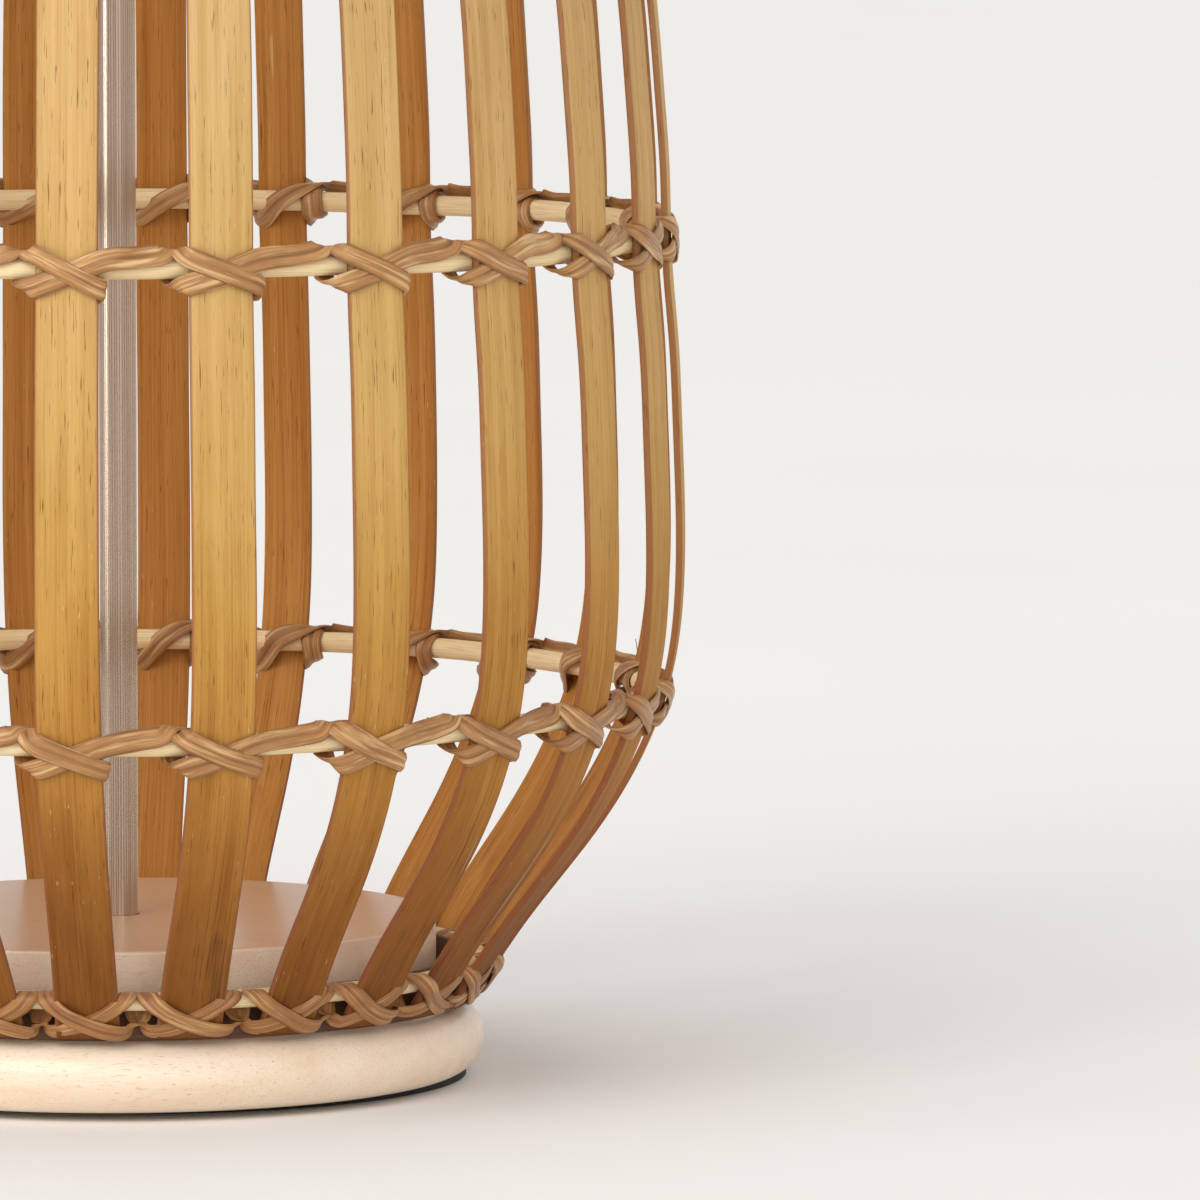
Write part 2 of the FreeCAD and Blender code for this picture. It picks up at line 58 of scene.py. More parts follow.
SLAT_THICK = 2.0 * MM
SLAT_SLACK = 0.2 * MM  # how far an edge stays inside the CAD slat's
SLAT_KNOTS = 22  # points of the bending line that are read from the CAD
SLAT_FINE = 1200  # points of the bending line where it is measured
SLAT_ROWS = 230  # points of the bending line in a slat's mesh
HOOP_ROWS = 360
HOOP_SIDES = 14
BAND_ROWS = 300
BAND_SLACK = 0.3 * MM  # how far the band stays inside the CAD band
STRAP_WIDE = 5.7 * MM
FOOT_STRAP_WIDE = 5.2 * MM
STRAP_THICK = 0.9 * MM
STRAP_STEPS = 12  # steps across a strap's ridged side
HAIR_WIDE = 0.24 * MM
HAIR_THICK = 0.2 * MM
HAIRS = 9  # loose fibres on a ring

# The straps' ways are given in millimetres.
STRAP_OUT = 2.1  # from the hoop's skin out to a strap that lies on a slat
KNOT_JITTER = 0.4
FOOT_JITTER = 0.35
FULL_GAP = 19.0  # a gap between slats where a knot has its full width
WIDE_GAP = 14  # a gap between slats where the strap needs a point halfway

# Each kind of piece draws its random numbers from its own seed, moved on by the number of the ring.
HOOP_SEED = 100
KNOT_SEED = 40
FOOT_SEED = 60
HAIR_SEED = 300
SEED_STEP = 13.7  # metres between the grain of one seed and the next


# ---------------------------------------------------------------- mesh work

class Weave:
    """Gathers strips of quads into one mesh, with a UV map in metres and named values per vertex."""

    def __init__(self):
        self.verts = []
        self.faces = []
        self.uvs = []
        self.values = {}
        self.count = 0

    def strip(self, points, across, along, closed=False, **values):
        """Adds points[row][column], closed across. across and along hold one more value where they close."""
        rows, cols = points.shape[:2]
        first = self.count
        self.verts.append(points.reshape(-1, 3))
        self.count += rows * cols
        for i in range(rows if closed else rows - 1):
            low = first + i * cols
            top = first + ((i + 1) % rows) * cols
            for j in range(cols):
                k = (j + 1) % cols
                self.faces.append((low + j, low + k, top + k, top + j))
                self.uvs += [(across[j], along[i]), (across[j + 1], along[i]),
                             (across[j + 1], along[i + 1]), (across[j], along[i + 1])]
        if not closed:
            for row, order in ((0, -1), (rows - 1, 1)):
                ends = list(range(cols))[::order]
                self.faces.append(tuple(first + row * cols + j for j in ends))
                self.uvs += [(across[j], along[row]) for j in ends]
        for name, value in values.items():
            whole = np.broadcast_to(np.asarray(value, float), (rows, cols)).reshape(-1)
            self.values.setdefault(name, []).append(whole)

    def build(self, name, slot, *replaced):
        """Makes the piece, on the cage, in the named material, in place of the CAD nodes it replaces."""
        mesh = bpy.data.meshes.new(name)
        mesh.from_pydata(np.concatenate(self.verts).tolist(), [], self.faces)
        layer = mesh.uv_layers.new(name="UVMap")
        layer.data.foreach_set("uv", np.array(self.uvs, np.float32).ravel())
        for key, rows in self.values.items():
            attribute = mesh.attributes.new(key, "FLOAT", "POINT")
            attribute.data.foreach_set("value", np.concatenate(rows).astype(np.float32))
        form = bmesh.new()
        form.from_mesh(mesh)
        bmesh.ops.recalc_face_normals(form, faces=form.faces)
        form.to_mesh(mesh)
        form.free()
        mesh.shade_smooth()
        piece = bpy.data.objects.new(name, mesh)
        link(piece)
        mesh.materials.append(MATERIALS[slot])
        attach(piece, "cage")
        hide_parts(*replaced)


def spline(knots, values):
    """A natural cubic through values at knots, as a function of arrays."""
    x = np.asarray(knots, float)
    y = np.asarray(values, float)
    count = len(x)
    step = np.diff(x)
    rows = np.eye(count)
    known = np.zeros(count)
    for i in range(1, count - 1):
        rows[i, i - 1:i + 2] = step[i - 1], 2 * (step[i - 1] + step[i]), step[i]
        known[i] = 6 * ((y[i + 1] - y[i]) / step[i] - (y[i] - y[i - 1]) / step[i - 1])
    bend = np.linalg.solve(rows, known)

    def value(at):
        at = np.asarray(at, float)
        i = np.clip(np.searchsorted(x, at) - 1, 0, count - 2)
        past, left, wide = at - x[i], x[i + 1] - at, step[i]
        curved = (bend[i] * left ** 3 + bend[i + 1] * past ** 3) / (6 * wide)
        here = (y[i] / wide - bend[i] * wide / 6) * left
        there = (y[i + 1] / wide - bend[i + 1] * wide / 6) * past
        return curved + here + there
    return value


def wander(seed, length, wave, size):
    """A smooth random curve: a function of the distance along, about size tall, changing every wave."""
    draw = random.Random(seed)
    count = max(4, int(length / wave) + 3)
    heights = [draw.uniform(-size, size) for _ in range(count)]
    return spline(np.linspace(-wave, length + wave, count), heights)


def through(points, samples, closed=True):
    """A Catmull-Rom line through rows of numbers, with a number of samples from each row to the next."""
    p = np.asarray(points, float)
    if closed:
        p = np.concatenate([p[-1:], p, p[:2]])
    else:
        p = np.concatenate([2 * p[:1] - p[1:2], p, 2 * p[-1:] - p[-2:-1]])
    t = np.linspace(0, 1, samples, endpoint=False)[:, None]
    rows = [0.5 * (2 * p[i] + (p[i + 1] - p[i - 1]) * t
                   + (2 * p[i - 1] - 5 * p[i] + 4 * p[i + 1] - p[i + 2]) * t ** 2
                   + (3 * p[i] - p[i - 1] - 3 * p[i + 1] + p[i + 2]) * t ** 3) for i in range(1, len(p) - 2)]
    line = np.concatenate(rows)
    return line if closed else np.concatenate([line, p[-2:-1]])


def unit(rows):
    """Each row of numbers made one long."""
    return rows / np.linalg.norm(rows, axis=-1, keepdims=True)


def lengths(line, closed):
    """The distance along a line of points at each point, and once more at its end where it closes."""
    ring = np.concatenate([line, line[:1]]) if closed else line
    return np.concatenate([[0], np.cumsum(np.linalg.norm(np.diff(ring, axis=0), axis=1))])


def perimeter(across, out):
    """The distance round a closed outline at each of its points, and once more at its end."""
    return lengths(np.column_stack([across, out]), True)


def even_turns(count):
    """Angles spread evenly round a circle."""
    return np.linspace(0, FULL_TURN, count, endpoint=False)


# ---------------------------------------------------------------- node materials

class Nodes:
    """Short names for the nodes of one material."""

    def __init__(self, name):
        self.material = bpy.data.materials.new(name)
        self.material.use_nodes = True
        self.tree = self.material.node_tree
        self.shader = self.tree.nodes["Principled BSDF"]

    def add(self, kind, inputs=(), **settings):
        node = self.tree.nodes.new(kind)
        for key, value in settings.items():
            setattr(node, key, value)
        for key, value in dict(inputs).items():
            self.feed(node.inputs[key], value)
        return node

    def feed(self, socket, value):
        if isinstance(value, bpy.types.NodeSocket):
            self.tree.links.new(value, socket)
        else:
            socket.default_value = value

    def set(self, **sockets):
        for key, value in sockets.items():
            self.feed(self.shader.inputs[key.replace("_", " ")], value)

    def uv(self):
        return self.add("ShaderNodeTexCoord").outputs["UV"]

    def place(self):
        return self.add("ShaderNodeTexCoord").outputs["Object"]

    def height(self):
        return self.add("ShaderNodeSeparateXYZ", {0: self.place()}).outputs["Z"]

    def value(self, name):
        return self.add("ShaderNodeAttribute", attribute_name=name).outputs["Fac"]

    def math(self, operation, a, b=0.0, c=0.0):
        return self.add("ShaderNodeMath", {0: a, 1: b, 2: c}, operation=operation).outputs[0]

    def shift(self, vector, seed):
        """The vector moved far along Z, by another way for each seed."""
        parts = self.add("ShaderNodeSeparateXYZ", {0: vector}).outputs
        moved = self.math("MULTIPLY_ADD", seed, SEED_STEP, parts["Z"])
        return self.add("ShaderNodeCombineXYZ", {0: parts["X"], 1: parts["Y"], 2: moved}).outputs[0]

    def stretched(self, vector, sizes):
        """The vector with each axis divided by the size of one grain along it."""
        scale = [1 / size for size in sizes]
        return self.add("ShaderNodeVectorMath", {0: vector, 1: scale}, operation="MULTIPLY").outputs[0]

    def noise(self, vector, sizes, detail, rough, warp=0.0):
        """Noise whose grains have the given size along each axis."""
        return self.add("ShaderNodeTexNoise", {"Vector": self.stretched(vector, sizes), "Scale": 1.0,
                                               "Detail": detail, "Roughness": rough,
                                               "Distortion": warp}).outputs["Fac"]

    def ramp(self, fac, *stops):
        node = self.add("ShaderNodeValToRGB", {"Fac": fac})
        band = node.color_ramp
        while len(band.elements) < len(stops):
            band.elements.new(0.5)
        for element, (at, colour) in zip(band.elements, stops):
            element.position = at
            element.color = (*colour, 1)
        return node.outputs["Color"]

    def curve(self, fac, low, high, bottom=0.0, top=1.0):
        """fac stretched so that low gives bottom and high gives top, clamped."""
        return self.add("ShaderNodeMapRange", {0: fac, 1: low, 2: high, 3: bottom, 4: top}).outputs[0]

    def mix(self, fac, a, b, blend="MIX"):
        """From colour a to colour b; each is an output or a linear colour of three numbers."""
        node = self.add("ShaderNodeMix", data_type="RGBA", blend_type=blend)
        self.feed(node.inputs["Factor"], fac)
        for socket, colour in ((node.inputs[6], a), (node.inputs[7], b)):
            self.feed(socket, (*colour, 1) if isinstance(colour, tuple) else colour)
        return node.outputs[2]

    def times(self, colour, factor):
        return self.mix(1.0, colour, factor, "MULTIPLY")

    def bump(self, height, depth, strength):
        inputs = {"Height": height, "Distance": depth, "Strength": strength}
        return self.add("ShaderNodeBump", inputs).outputs[0]


def srgb(red, green, blue):
    """A display colour from 0 to 255 as the linear colour that shaders use."""
    def linear(c):
        c /= 255
        return c / 12.92 if c <= 0.04045 else ((c + 0.055) / 1.055) ** 2.4
    return linear(red), linear(green), linear(blue)


def slat_material():
    """Split bamboo: long fibres on a golden face, paler up high, redder towards the foot, darker inside."""
    n = Nodes("bamboo_slat")
    seed = n.value("seed")
    at = n.shift(n.uv(), seed)
    height = n.height()
    fibre = n.noise(at, (0.5 * MM, 70 * MM, 1), 5, 0.7, 0.4)
    strand = n.noise(at, (2.6 * MM, 150 * MM, 1), 3, 0.55)
    cloud = n.noise(at, (16 * MM, 50 * MM, 1), 3, 0.6)
    hair = n.noise(at, (0.16 * MM, 18 * MM, 1), 2, 0.6)
    level = n.math("MULTIPLY_ADD", n.math("SUBTRACT", cloud, 0.5), 0.06, height)
    tan = n.ramp(level, (0.025, srgb(136, 84, 34)), (0.06, srgb(162, 104, 44)), (0.10, srgb(190, 134, 64)),
                 (0.14, srgb(203, 154, 80)), (0.18, srgb(214, 171, 102)), (0.27, srgb(220, 180, 120)),
                 (0.47, srgb(226, 188, 138)))
    light = n.times(tan, (1.03, 1.07, 1.14))
    dark = n.times(tan, (0.74, 0.67, 0.54))
    face = n.mix(n.curve(strand, 0.38, 0.66), dark, light)
    face = n.mix(n.curve(cloud, 0.3, 0.7, 0.25, 0.8), face, tan)
    low = n.curve(height, 0.05, 0.16, 0.95, 0.5)
    line = n.math("MULTIPLY", n.curve(fibre, 0.32, 0.48, 1.0, 0.0), low)
    face = n.mix(line, face, n.times(tan, (0.62, 0.50, 0.36)))
    grain = n.math("MULTIPLY_ADD", strand, 0.6, fibre)
    inner = n.mix(n.curve(grain, 0.55, 1.0), srgb(172, 108, 44), srgb(210, 150, 80))
    side = n.value("side")
    colour = n.mix(n.curve(side, 0.55, 0.9), face, inner)
    edge = n.math("MULTIPLY", n.curve(side, 0.02, 0.12), n.curve(side, 0.95, 0.75))
    colour = n.mix(n.math("MULTIPLY", edge, 0.7), colour, srgb(150, 92, 66))
    dash = n.curve(n.noise(at, (0.34 * MM, 9 * MM, 1), 2, 0.5), 0.64, 0.72, 0.0, 0.75)
    colour = n.mix(dash, colour, srgb(104, 58, 26))
    speck = n.curve(n.noise(at, (0.4 * MM, 4.5 * MM, 1), 1, 0.5), 0.76, 0.82, 0.0, 0.55)
    colour = n.mix(speck, colour, srgb(246, 222, 176))
    scar = n.math("MULTIPLY", n.curve(strand, 0.66, 0.72), n.curve(cloud, 0.60, 0.68))
    colour = n.mix(n.math("MULTIPLY", scar, 0.6), colour, srgb(238, 208, 160))
    stain = n.math("MULTIPLY", n.curve(cloud, 0.54, 0.66, 0.0, 0.7), n.curve(height, 0.09, 0.05))
    colour = n.mix(n.math("MULTIPLY", stain, n.curve(fibre, 0.65, 0.4)), colour, srgb(88, 50, 26))
    tone = n.ramp(seed, (0.0, (0.90, 0.87, 0.84)), (0.5, (0.95, 0.96, 0.94)), (1.0, (0.98, 1.0, 1.0)))
    colour = n.times(colour, tone)
    groove = n.math("MULTIPLY_ADD", hair, 0.5, fibre)
    n.set(Base_Color=colour, Roughness=n.curve(fibre, 0.3, 0.7, 0.68, 0.5), Specular_IOR_Level=0.12,
          Normal=n.bump(groove, 0.25 * MM, 0.6))
    return n.material


def core_material():
    """Round rattan core: pale, matt, with fine long pores."""
    n = Nodes("rattan_core")
    at = n.uv()
    pores = n.noise(at, (0.5 * MM, 16 * MM, 1), 4, 0.6)
    cloud = n.noise(at, (8 * MM, 60 * MM, 1), 2, 0.5)
    colour = n.ramp(pores, (0.25, srgb(218, 182, 126)), (0.5, srgb(247, 224, 176)), (0.8, srgb(253, 238, 202)))
    colour = n.mix(n.curve(cloud, 0.4, 0.7, 0.0, 0.4), colour, srgb(224, 184, 120))
    n.set(Base_Color=colour, Roughness=0.6, Specular_IOR_Level=0.35, Normal=n.bump(pores, 0.15 * MM, 0.5))
    return n.material


def strap_material():
    """Rattan peel: warm brown with pale glossy ridges, darker towards the bottom, with painted shade in the
    valleys between its ridges and on its underside.
    """
    n = Nodes("rattan_strap")
    at = n.shift(n.uv(), n.value("seed"))
    fibre = n.noise(at, (0.4 * MM, 26 * MM, 1), 5, 0.65, 0.3)
    strand = n.noise(at, (1.5 * MM, 20 * MM, 1), 3, 0.55)
    cloud = n.noise(at, (5 * MM, 14 * MM, 1), 3, 0.6)
    colour = n.ramp(fibre, (0.25, srgb(140, 92, 46)), (0.45, srgb(182, 132, 76)), (0.62, srgb(206, 158, 98)),
                    (0.8, srgb(232, 192, 138)))
    colour = n.mix(n.curve(cloud, 0.36, 0.66, 0.0, 0.75), colour, srgb(160, 108, 60))
    colour = n.mix(n.curve(strand, 0.54, 0.68, 0.0, 0.7), colour, srgb(238, 202, 148))
    low = n.curve(n.height(), 0.16, 0.03, 0.0, 0.55)
    colour = n.mix(low, colour, n.times(colour, (0.66, 0.5, 0.36)))
    # Painted shade: the valleys between the ridges and the strap's underside are darkened towards a deep brown.
    valley = n.curve(n.value("ridge"), 0.0, 0.6, 1.0, 0.0)
    painted_valley_shade = n.math("MULTIPLY", valley, n.curve(strand, 0.35, 0.6, 0.75, 0.15))
    colour = n.mix(painted_valley_shade, colour, srgb(104, 58, 26))
    groove = n.math("MULTIPLY_ADD", strand, 1.4, fibre)
    n.set(Base_Color=colour, Roughness=n.curve(fibre, 0.3, 0.7, 0.5, 0.32), Specular_IOR_Level=0.45,
          Coat_Weight=0.12, Coat_Roughness=0.25, Normal=n.bump(groove, 0.3 * MM, 0.7))
    return n.material


def band_material():
    """The dark bamboo band inside the foot."""
    n = Nodes("dark_bamboo")
    fibre = n.noise(n.uv(), (0.5 * MM, 50 * MM, 1), 5, 0.6)
    colour = n.ramp(fibre, (0.25, srgb(52, 30, 16)), (0.55, srgb(92, 56, 32)), (0.8, srgb(124, 80, 46)))
    n.set(Base_Color=colour, Roughness=0.6, Normal=n.bump(fibre, 0.2 * MM, 0.6))
    return n.material


def wood_material():
    """Pale varnished rubberwood, its grain along X, with darker pores; the top of the step disc is browner, as
    painted shade and painted reflection of the bamboo cage above it.
    """
    n = Nodes("base_wood")
    at = n.place()
    band = n.noise(at, (170 * MM, 9 * MM, 7 * MM), 3, 0.5, 0.3)
    fine = n.noise(at, (14 * MM, 0.7 * MM, 0.7 * MM), 4, 0.6)
    pores = n.noise(at, (3.2 * MM, 0.34 * MM, 0.34 * MM), 2, 0.5)
    colour = n.ramp(band, (0.3, srgb(247, 229, 206)), (0.55, srgb(243, 221, 196)), (0.75, srgb(236, 209, 180)))
    colour = n.mix(n.curve(fine, 0.4, 0.8, 0.0, 0.4), colour, srgb(232, 200, 166))
    # Painted shade and painted reflection of the cage: the step disc's top, inside the cage, is made browner than
    # the rest of the wood.
    step_top_painted_shade = n.curve(n.height(), STEP_TOP - 0.5 * MM, STEP_TOP - 0.1 * MM, 0.0, 0.75)
    brown = n.mix(n.curve(fine, 0.3, 0.7), srgb(196, 140, 88), srgb(214, 160, 106))
    colour = n.mix(step_top_painted_shade, colour, brown)
    fleck = n.curve(pores, 0.61, 0.71, 0.0, 0.55)
    colour = n.mix(fleck, colour, srgb(196, 150, 110))
    n.set(Base_Color=colour, Roughness=n.curve(fine, 0.3, 0.7, 0.5, 0.42), Specular_IOR_Level=0.4,
          Coat_Weight=0.55, Coat_Roughness=0.22,
          Normal=n.bump(n.math("MULTIPLY_ADD", fleck, -1.2, fine), 0.08 * MM, 0.5))
    return n.material


def metal_material(name, colour, rough, grain, depth=0.03 * MM):
    """Metal with fine marks of some depth; grain gives the size of one mark along X, Y and Z."""
    n = Nodes(name)
    marks = n.noise(n.place(), grain, 4, 0.6)
    smear = n.noise(n.place(), (20 * MM, 20 * MM, 30 * MM), 2, 0.5)
    light = tuple(min(1, part * 1.12) for part in colour)
    dark = tuple(part * 0.86 for part in colour)
    n.set(Base_Color=n.mix(n.curve(marks, 0.3, 0.7), dark, light), Metallic=1.0,
          Roughness=n.curve(smear, 0.3, 0.7, rough * 0.85, rough * 1.15),
          Normal=n.bump(marks, depth, 0.4))
    return n.material


def moulded_material(name, colour, rough, speck=0.35 * MM):
    """A moulded or fired surface with a fine texture."""
    n = Nodes(name)
    grain = n.noise(n.place(), (speck, speck, speck), 3, 0.6)
    cloud = n.noise(n.place(), (12 * MM, 12 * MM, 12 * MM), 2, 0.5)
    light = tuple(min(1, part * 1.25 + 0.004) for part in colour)
    n.set(Base_Color=n.mix(n.curve(cloud, 0.3, 0.7), colour, light),
          Roughness=n.curve(grain, 0.3, 0.7, rough * 0.9, rough * 1.1), Normal=n.bump(grain, 0.05 * MM, 0.5))
    return n.material


def glass_material():
    """Clear bulb glass with a trace of waviness."""
    n = Nodes("bulb_glass")
    wave = n.noise(n.place(), (16 * MM, 16 * MM, 16 * MM), 2, 0.5)
    tint = n.mix(n.curve(wave, 0.3, 0.7), (0.97, 0.98, 0.98), (1, 1, 1))
    n.set(Base_Color=tint, Roughness=0.02, IOR=1.5, Transmission_Weight=1.0,
          Normal=n.bump(wave, 0.05 * MM, 0.3))
    return n.material


MATERIALS = {
    "bamboo_slat": slat_material(),
    "rattan_core": core_material(),
    "rattan_strap": strap_material(),
    "dark_bamboo": band_material(),
    "base_wood": wood_material(),
    "base_pad": moulded_material("base_pad", srgb(34, 36, 42), 0.85, 0.6 * MM),
    # The tube's warm brown tint is painted reflection of the bamboo slats and the darker room on the camera side.
    "satin_tube": metal_material("satin_tube", srgb(200, 184, 166), 0.2, (0.3 * MM, 0.3 * MM, 90 * MM),
                                 0.0006 * MM),
    "zinc_steel": metal_material("zinc_steel", srgb(206, 206, 204), 0.4, (1.2 * MM, 1.2 * MM, 1.2 * MM)),
    "grommet_plastic": moulded_material("grommet_plastic", srgb(38, 38, 40), 0.5),
    "holder_plastic": moulded_material("holder_plastic", srgb(42, 41, 42), 0.42),
    "porcelain": moulded_material("porcelain", srgb(236, 234, 228), 0.35),
    "brass": metal_material("brass", srgb(214, 176, 98), 0.3, (0.8 * MM, 0.8 * MM, 0.8 * MM)),
    "bulb_glass": glass_material(),
    "cap_metal": metal_material("cap_metal", srgb(214, 214, 216), 0.28, (0.9 * MM, 0.9 * MM, 0.5 * MM)),
    "cap_insulator": moulded_material("cap_insulator", srgb(22, 22, 26), 0.15),
    "filament": moulded_material("filament", srgb(240, 206, 110), 0.5),
}


# ---------------------------------------------------------------- slats

def read_slat(node):
    """A CAD slat's direction about Z, half width, outer radius by height, and the heights of its ends."""
    mesh = frame["nodes"][node].data
    co = np.array([v.co for v in mesh.vertices])
    middle = sum((np.array(f.center) * f.area for f in mesh.polygons), np.zeros(3))
    angle = math.atan2(middle[1], middle[0])
    radial = Vector((math.cos(angle), math.sin(angle), 0))
    aside = Vector((-math.sin(angle), math.cos(angle), 0))
    outer = (f for f in mesh.polygons if f.normal.dot(radial) > 0.3 and abs(f.normal.dot(aside)) < 0.2)
    facing = {i for f in outer for i in f.vertices}
    rows = sorted((co[i][2], co[i][0] * radial.x + co[i][1] * radial.y) for i in facing)
    knots = np.linspace(rows[0][0], rows[-1][0], SLAT_KNOTS)
    radii = np.interp(knots, [z for z, r in rows], [r for z, r in rows])
    half = float(np.abs(co @ np.array(aside)).max())
    return angle, half, spline(knots, radii), knots[0], knots[-1]


SLATS = sorted(name for name in frame["nodes"] if name.startswith("slat_"))
slat_rows = {name: read_slat(name) for name in SLATS}
slat_angle = {name: row[0] for name, row in slat_rows.items()}
slat_half = {name: row[1] for name, row in slat_rows.items()}
widest_half = max(slat_half.values())
outer_radius, foot_z, tip_z = slat_rows[SLATS[0]][2:]


def lean_at(height, step):
    """How far the slats lean out from upright at a height, in radians."""
    return np.arctan((outer_radius(height + step) - outer_radius(height - step)) / (2 * step))


def slat_stations():
    """Evenly spaced points of the outer line: distance along, radius, height and lean at each."""
    fine = np.linspace(foot_z, tip_z, SLAT_FINE)
    run = lengths(np.column_stack([fine, outer_radius(fine)]), False)
    at = np.linspace(0, run[-1], SLAT_ROWS)
    height = np.interp(at, run, fine)
    return at, outer_radius(height), height, lean_at(height, 0.5 * MM)


def slat_section(half, crown):
    """Half the slat's outline, from the middle of the outer face round the edge: (across, out, side)."""
    rows = [(half * t, -crown * t * t, 0.0) for t in (0, 0.22, 0.44, 0.64, 0.8, 0.91)]
    rows.append((half * 0.965, -crown - 0.02 * SLAT_THICK, 0.1))
    edge = ((0.992, 0.24, 0.3), (1.0, 0.42, 0.5), (0.998, 0.72, 0.6), (0.985, 0.92, 0.8),
            (0.96, 1.0, 1.0), (0.6, 1.0, 1.0), (0.25, 1.0, 1.0))
    return rows + [(half * wide, -deep * SLAT_THICK, side) for wide, deep, side in edge]


def make_slat(name, number):
    """A split bamboo slat, swept up the outer line with a little wander in its width, place and twist."""
    angle = slat_angle[name]
    at, radius, height, lean = slat_stations()
    length = at[-1]
    seed = rng.random()
    width = wander(number * 5 + 1, length, 110 * MM, 0.3 * MM)
    ragged = wander(number * 5 + 2, length, 22 * MM, 0.07 * MM)
    sway = wander(number * 5 + 3, length, 150 * MM, 0.5 * MM)
    twist = wander(number * 5 + 4, length, 130 * MM, 0.03)
    crown = 0.16 * MM + 0.1 * MM * rng.random()
    shape = slat_section(slat_half[name] - SLAT_SLACK, crown)
    across, out, side = np.array(shape + [(-x, y, s) for x, y, s in reversed(shape[1:])]).T
    grow = (1 + (width(at) + ragged(at)) / widest_half)[:, None]
    turn = twist(at)[:, None]
    x = across * grow * np.cos(turn) - out * np.sin(turn) + sway(at)[:, None]
    y = across * grow * np.sin(turn) + out * np.cos(turn)
    r = radius[:, None] + y * np.cos(lean)[:, None]
    z = height[:, None] - y * np.sin(lean)[:, None]
    points = np.stack([r * math.cos(angle) - x * math.sin(angle),
                       r * math.sin(angle) + x * math.cos(angle), z], axis=-1)
    weave = Weave()
    weave.strip(points, perimeter(across, out), at, side=side[None, :], seed=seed)
    weave.build("bamboo_" + name, "bamboo_slat", name)


# ---------------------------------------------------------------- hoops and band

class Ring:
    """A hoop as the CAD has it: radius, height, half its wire, and the slats' lean there."""

    def __init__(self, name):
        low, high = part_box(name + "_hoop")
        self.name = name
        self.wire = (high.z - low.z) / 2
        self.radius = (high.x - low.x) / 2 - self.wire
        self.height = (high.z + low.z) / 2
        self.lean = float(lean_at(self.height, MM))

    def point(self, angle, across, out, up):
        """A point near the hoop: across follows the hoop, out and up are the slats' own directions."""
        turn = angle + across / self.radius
        r = self.radius + out * math.cos(self.lean) + up * math.sin(self.lean)
        z = self.height - out * math.sin(self.lean) + up * math.cos(self.lean)
        return r * math.cos(turn), r * math.sin(turn), z

    def direction(self, angle, across, towards):
        """A direction given as (across, out, up), turned with the hoop."""
        turn = angle + across / self.radius
        right, out, up = towards
        r = out * math.cos(self.lean) + up * math.sin(self.lean)
        z = -out * math.sin(self.lean) + up * math.cos(self.lean)
        return r * math.cos(turn) - right * math.sin(turn), r * math.sin(turn) + right * math.cos(turn), z

    def row(self, angle, place, side):
        """A strap's point and the way it faces there, from (across, out, up) in millimetres and a direction."""
        x, y, z = (MM * part for part in place)
        return *self.point(angle, x, y, z), *self.direction(angle, x, side)


RINGS = [Ring(name) for name in ("base", "lower", "middle", "high", "rim")]


def turned(radius, turn, height):
    """Points at the radii and heights of each row, turned about Z by the row's angle."""
    return np.stack([radius * np.cos(turn)[:, None], radius * np.sin(turn)[:, None],
                     np.broadcast_to(height, radius.shape)], axis=-1)


def make_hoop(ring, number):
    """Round rattan core, very slightly uneven."""
    turn = even_turns(HOOP_ROWS)
    loop = even_turns(HOOP_SIDES)
    draw = random.Random(HOOP_SEED + number)
    phases = [draw.uniform(0, 6.28) for _ in range(4)]
    rise = 0.18 * MM * (np.sin(3 * turn + phases[0]) + np.sin(7 * turn + phases[1]))
    thick = ring.wire * (0.975 + 0.02 * np.sin(5 * turn + phases[2]) * np.sin(11 * turn + phases[3]))
    radius = ring.radius + thick[:, None] * np.cos(loop)
    height = ring.height + thick[:, None] * np.sin(loop) + rise[:, None]
    around = np.linspace(0, FULL_TURN * ring.wire, HOOP_SIDES + 1)
    along = np.linspace(0, FULL_TURN * ring.radius, HOOP_ROWS + 1)
    weave = Weave()
    weave.strip(turned(radius, turn, height), around, along, closed=True)
    weave.build(ring.name + "_rattan_hoop", "rattan_core", ring.name + "_hoop")


def make_band():
    """The flat dark band that the slats' feet are bound to, inside the hoop."""
    low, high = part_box("base_band")
    outer = (high.x - low.x) / 2
    turn = even_turns(BAND_ROWS)
    tall = (high.z - low.z) / MM - 0.1
    section = np.array([(0, 0.5), (0, tall - 0.4), (-0.25, tall), (-1.5, tall), (-1.75, tall - 0.4),
                        (-1.75, 0.5), (-1.5, 0.1), (-0.25, 0.1)]) * MM
    wave = 0.12 * MM * np.sin(9 * turn) + 0.1 * MM * np.sin(23 * turn + 1)
    radius = outer - BAND_SLACK + section[:, 0] + wave[:, None]
    back = 2 * tall + 2
    across = np.array([0, tall, tall + 0.5, tall + 1.8, tall + 2.3, back, back + 0.5, back + 1.7, back + 2.2]) * MM
    along = np.linspace(0, FULL_TURN * outer, BAND_ROWS + 1)
    weave = Weave()
    weave.strip(turned(radius, turn, low.z + section[:, 1]), across, along, closed=True)
    weave.build("foot_band", "dark_bamboo", "base_band")


# ---------------------------------------------------------------- straps

def strap_section():
    """A strap's outline with two soft ridges on its outer side: (across, out, ridge), as shares of its size."""
    flat = 0.92
    rows = []
    for k in range(STRAP_STEPS + 1):
        x = flat * (k / STRAP_STEPS - 0.5)
        ridge = 0.5 - 0.5 * math.cos(2 * FULL_TURN * k / STRAP_STEPS)
        rows.append((x, 0.5 - 0.2 * (1 - ridge) - 0.45 * (2.1 * x) ** 4, ridge))
    rows += [(0.5, -0.2, 0.4), (0.46, -0.45, 0.3), (0.2, -0.5, 0.3), (-0.2, -0.5, 0.3), (-0.46, -0.45, 0.3),
             (-0.5, -0.2, 0.4)]
    return np.array(rows)


def soften(rows, times):
    """Closed rows of numbers, each drawn towards its neighbours."""
    for _ in range(times):
        rows = 0.5 * rows + 0.25 * (np.roll(rows, 1, axis=0) + np.roll(rows, -1, axis=0))
    return rows


